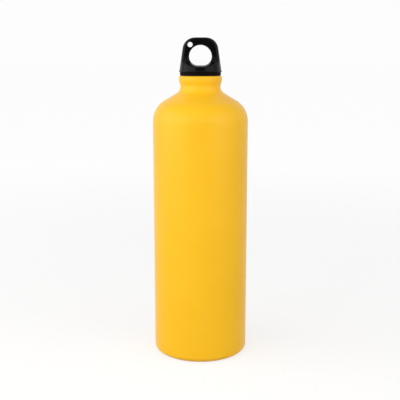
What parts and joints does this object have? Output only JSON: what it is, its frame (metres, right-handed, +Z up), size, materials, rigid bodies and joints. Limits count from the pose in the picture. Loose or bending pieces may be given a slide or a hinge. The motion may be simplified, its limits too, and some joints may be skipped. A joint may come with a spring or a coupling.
{
  "type": "fuel bottle",
  "caption": "Tall cylindrical aluminium bottle for camping fuel, painted yellow, with a grooved neck and a black screw stopper that has a carrying loop and a lanyard hole.",
  "frame": {"origin": "centre of the bottle's base, on the surface that it stands on", "axes": "+Z up along the bottle's axis; the loop's big hole runs along Y; the lanyard hole is on the -X side"},
  "size_m": [0.08, 0.08, 0.2694],
  "materials": {
    "yellow_paint": "satin yellow paint",
    "bare_aluminium": "turned",
    "grey_seal": "matte",
    "black_plastic": "satin moulded",
    "white_plastic": "moulded",
    "black_rubber": "matte"
  },
  "bodies": {
    "bottle": {"bottle_shell": "yellow_paint", "neck_thread_ring": "bare_aluminium", "thread_ring_seal": "grey_seal"},
    "gasket": {"cap_gasket": "black_rubber"},
    "stopper": {"stopper_cap": "black_plastic", "stopper_plug": "white_plastic", "plug_end_disc": "white_plastic"}
  },
  "joints": [
    {"name": "stopper_lift", "type": "slide", "parent": "bottle", "child": "gasket", "axis": [0, 0, 1], "range_m": [0, 0.02]},
    {"name": "stopper_turn", "type": "hinge", "parent": "gasket", "child": "stopper", "pos_m": [0, 0, 0.2412], "axis": [0, 0, 1], "range_deg": [0, 1800]}
  ],
  "couplings": [
    {"joint": "stopper_lift", "follows": "stopper_turn", "m_per_rad": 0.00063662}
  ]
}
